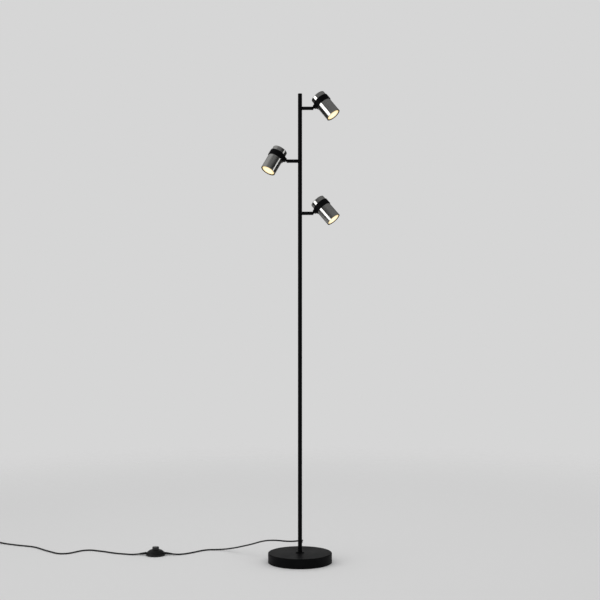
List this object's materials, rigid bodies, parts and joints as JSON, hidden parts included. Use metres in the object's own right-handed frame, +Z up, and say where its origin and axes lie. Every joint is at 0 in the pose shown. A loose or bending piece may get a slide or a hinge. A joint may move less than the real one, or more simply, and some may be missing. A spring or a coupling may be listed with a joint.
{
  "type": "tree floor lamp",
  "caption": "Floor lamp with a round weighted foot, a slim pole and spot heads on swivelling, tilting arms, with a foot switch on its cord.",
  "frame": {"origin": "centre of the foot's underside, on the floor", "axes": "+Z up along the pole, -Y towards the lamp's front, +X towards the side of the top and low arms"},
  "size_m": [1.452, 0.48, 1.6973],
  "materials": {
    "black_paint": "satin black powder coat",
    "concrete": "cast concrete",
    "foam": "closed-cell foam pad",
    "zinc": "zinc plated",
    "black_zinc": "black plated steel",
    "black_plastic": "moulded, matt",
    "button_plastic": "moulded, semi-gloss",
    "white_plastic": "moulded",
    "lead_sheath": "soft insulation",
    "cord_sheath": "extruded flexible sheath",
    "tie": "woven hook tape",
    "brass": "nickel plated brass",
    "steel": "brushed and nickel plated",
    "ceramic": "unglazed steatite",
    "lamp_housing": "moulded, ribbed",
    "lens": "frosted, lit warm white"
  },
  "bodies": {
    "root": {"base_cover": "black_paint", "base_core": "concrete", "base_pad": "foam", "base_bolt": "zinc", "pole_collar": "black_paint", "pole_foot_plug": "zinc", "pole_lower": "black_paint", "pole_middle": "black_paint", "pole_upper": "black_paint", "pole_connectors": "zinc", "pole_cap": "black_plastic", "cord_grommet": "black_plastic", "wire_splice": "white_plastic", "inner_leads": "lead_sheath", "arm_top": "black_paint", "arm_middle": "black_paint", "arm_low": "black_paint", "arm_nipples": "zinc", "swivel_grub_screws": "zinc", "cord_to_switch": "cord_sheath", "cord_to_coil": "cord_sheath", "cord_coil": "cord_sheath", "coil_tie": "tie", "plug_body": "black_plastic", "plug_pins": "brass", "switch_base": "black_plastic", "switch_cover": "black_plastic", "switch_spring": "zinc", "switch_block": "white_plastic", "switch_screws": "zinc", "switch_strain_reliefs": "cord_sheath"},
    "swivel_top": {"swivel_fork_top": "black_paint", "pivot_fasteners_top": "black_zinc"},
    "head_top": {"head_ring_top": "black_paint", "front_tube_top": "steel", "rear_cup_top": "steel", "lamp_holder_top": "ceramic", "lamp_body_top": "lamp_housing", "lamp_lens_top": "lens", "front_trim_top": "black_paint"},
    "swivel_middle": {"swivel_fork_middle": "black_paint", "pivot_fasteners_middle": "black_zinc"},
    "head_middle": {"head_ring_middle": "black_paint", "front_tube_middle": "steel", "rear_cup_middle": "steel", "lamp_holder_middle": "ceramic", "lamp_body_middle": "lamp_housing", "lamp_lens_middle": "lens", "front_trim_middle": "black_paint"},
    "swivel_low": {"swivel_fork_low": "black_paint", "pivot_fasteners_low": "black_zinc"},
    "head_low": {"head_ring_low": "black_paint", "front_tube_low": "steel", "rear_cup_low": "steel", "lamp_holder_low": "ceramic", "lamp_body_low": "lamp_housing", "lamp_lens_low": "lens", "front_trim_low": "black_paint"},
    "switch_button": {"switch_button": "button_plastic"}
  },
  "joints": [
    {"name": "swivel_top", "type": "hinge", "parent": "root", "child": "swivel_top", "pos_m": [0.03, 0, 1.634], "axis": [1, 0, 0], "range_deg": [-141, 179]},
    {"name": "tilt_top", "type": "hinge", "parent": "swivel_top", "child": "head_top", "pos_m": [0.0442, 0, 1.634], "axis": [0, -0.9455, 0.3256], "range_deg": [-76.5, 53.5]},
    {"name": "swivel_middle", "type": "hinge", "parent": "root", "child": "swivel_middle", "pos_m": [-0.03, 0, 1.444], "axis": [1, 0, 0], "range_deg": [-138, 182]},
    {"name": "tilt_middle", "type": "hinge", "parent": "swivel_middle", "child": "head_middle", "pos_m": [-0.0442, 0, 1.444], "axis": [0, 0.9272, -0.3746], "range_deg": [-67.3, 62.7]},
    {"name": "swivel_low", "type": "hinge", "parent": "root", "child": "swivel_low", "pos_m": [0.03, 0, 1.256], "axis": [1, 0, 0], "range_deg": [-141, 179]},
    {"name": "tilt_low", "type": "hinge", "parent": "swivel_low", "child": "head_low", "pos_m": [0.0442, 0, 1.256], "axis": [0, -0.9455, 0.3256], "range_deg": [-78.5, 51.5]},
    {"name": "button_press", "type": "slide", "parent": "root", "child": "switch_button", "axis": [0, 0, -1], "range_m": [0, 0.004], "stiffness_N_per_m": 400, "springref_m": -0.003, "deforming": ["switch_spring"]}
  ]
}
